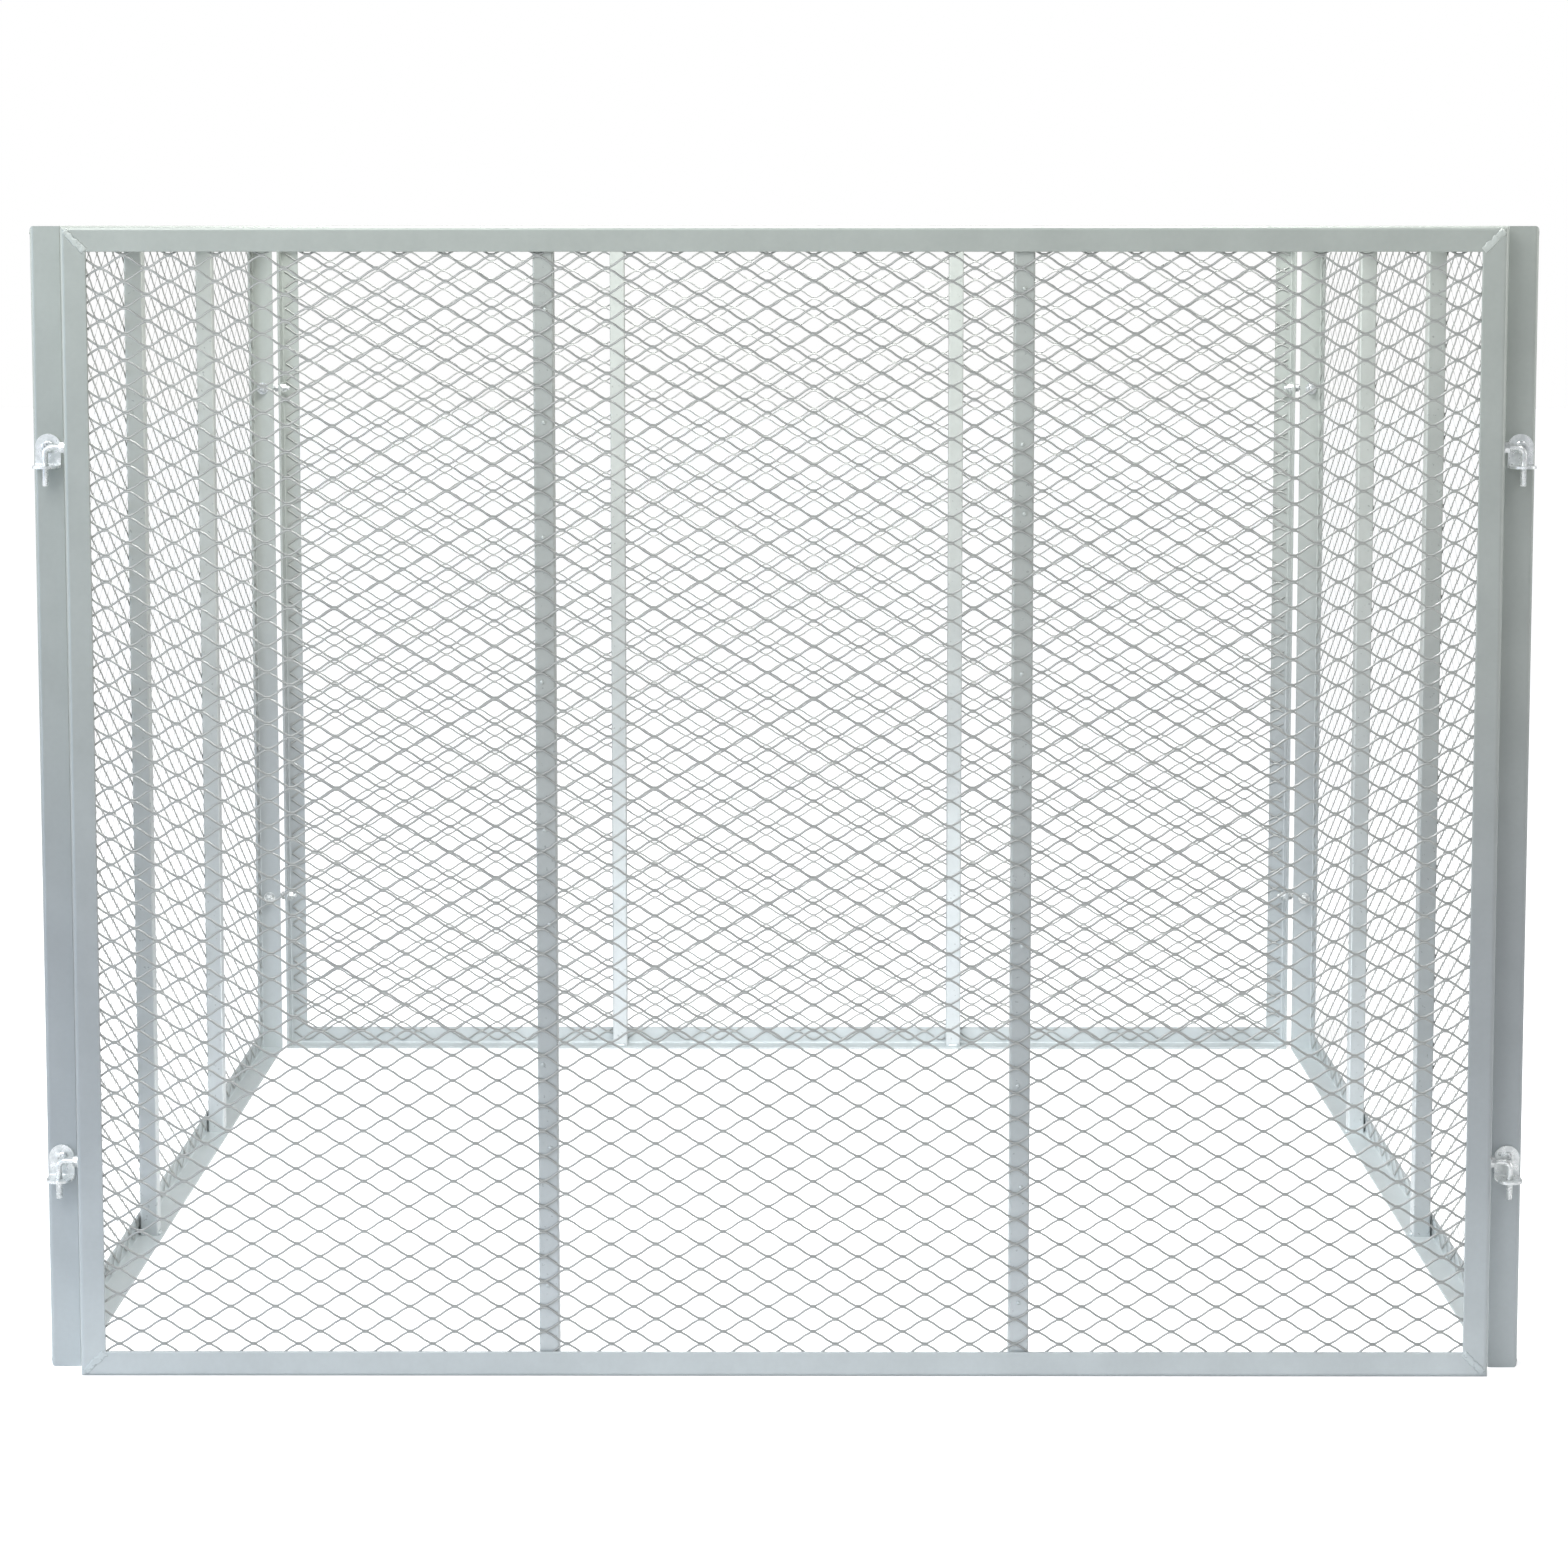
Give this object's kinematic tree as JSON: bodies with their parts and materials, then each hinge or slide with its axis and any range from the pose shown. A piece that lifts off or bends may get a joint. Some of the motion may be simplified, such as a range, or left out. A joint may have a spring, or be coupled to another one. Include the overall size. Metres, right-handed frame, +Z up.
{
  "type": "kennel cage",
  "caption": "Open-topped kennel pen of welded angle-iron panels with expanded metal mesh and upright tubes, hooked together at the corners by hook bolts in L brackets.",
  "frame": {"origin": "on the floor, under the middle of the pen's outside box", "axes": "+Z up, the front panel faces -Y, +X to the right seen from the front"},
  "size_m": [1.4728, 1.4638, 1.14],
  "materials": {
    "frame_paint": "satin light grey enamel on folded angle",
    "bar_paint": "satin light grey enamel on square tube",
    "mesh_paint": "satin light grey enamel on expanded metal",
    "weld_paint": "dressed weld under the same enamel",
    "bright_zinc_plate": "bright zinc plated pressed steel",
    "bright_zinc_rod": "bright zinc plated rod",
    "bright_zinc_fixings": "bright zinc plated M6 hardware"
  },
  "bodies": {
    "sides": {"left_bracket_nuts": "bright_zinc_fixings", "left_bracket_screws": "bright_zinc_fixings", "left_bracket_washers": "bright_zinc_fixings", "left_front_lower_bracket": "bright_zinc_plate", "left_front_upper_bracket": "bright_zinc_plate", "left_panel_bottom_rail": "frame_paint", "left_panel_front_bar": "bar_paint", "left_panel_front_stile": "frame_paint", "left_panel_mesh": "mesh_paint", "left_panel_rear_bar": "bar_paint", "left_panel_rear_stile": "frame_paint", "left_panel_top_rail": "frame_paint", "left_panel_welds": "weld_paint", "left_rear_lower_bracket": "bright_zinc_plate", "left_rear_upper_bracket": "bright_zinc_plate", "right_bracket_nuts": "bright_zinc_fixings", "right_bracket_screws": "bright_zinc_fixings", "right_bracket_washers": "bright_zinc_fixings", "right_front_lower_bracket": "bright_zinc_plate", "right_front_upper_bracket": "bright_zinc_plate", "right_panel_bottom_rail": "frame_paint", "right_panel_front_bar": "bar_paint", "right_panel_front_stile": "frame_paint", "right_panel_mesh": "mesh_paint", "right_panel_rear_bar": "bar_paint", "right_panel_rear_stile": "frame_paint", "right_panel_top_rail": "frame_paint", "right_panel_welds": "weld_paint", "right_rear_lower_bracket": "bright_zinc_plate", "right_rear_upper_bracket": "bright_zinc_plate"},
    "front_panel": {"front_hook_nuts": "bright_zinc_fixings", "front_hook_washers": "bright_zinc_fixings", "front_left_lower_hook_bolt": "bright_zinc_rod", "front_left_upper_hook_bolt": "bright_zinc_rod", "front_panel_bottom_rail": "frame_paint", "front_panel_left_bar": "bar_paint", "front_panel_left_stile": "frame_paint", "front_panel_mesh": "mesh_paint", "front_panel_right_bar": "bar_paint", "front_panel_right_stile": "frame_paint", "front_panel_top_rail": "frame_paint", "front_panel_welds": "weld_paint", "front_right_lower_hook_bolt": "bright_zinc_rod", "front_right_upper_hook_bolt": "bright_zinc_rod"},
    "rear_panel": {"rear_hook_nuts": "bright_zinc_fixings", "rear_hook_washers": "bright_zinc_fixings", "rear_left_lower_hook_bolt": "bright_zinc_rod", "rear_left_upper_hook_bolt": "bright_zinc_rod", "rear_panel_bottom_rail": "frame_paint", "rear_panel_left_bar": "bar_paint", "rear_panel_left_stile": "frame_paint", "rear_panel_mesh": "mesh_paint", "rear_panel_right_bar": "bar_paint", "rear_panel_right_stile": "frame_paint", "rear_panel_top_rail": "frame_paint", "rear_panel_welds": "weld_paint", "rear_right_lower_hook_bolt": "bright_zinc_rod", "rear_right_upper_hook_bolt": "bright_zinc_rod"}
  },
  "joints": [
    {"name": "front_lift", "type": "slide", "parent": "sides", "child": "front_panel", "axis": [0, 0, 1], "range_m": [0, 0.03]},
    {"name": "rear_lift", "type": "slide", "parent": "sides", "child": "rear_panel", "axis": [0, 0, 1], "range_m": [0, 0.03]}
  ]
}
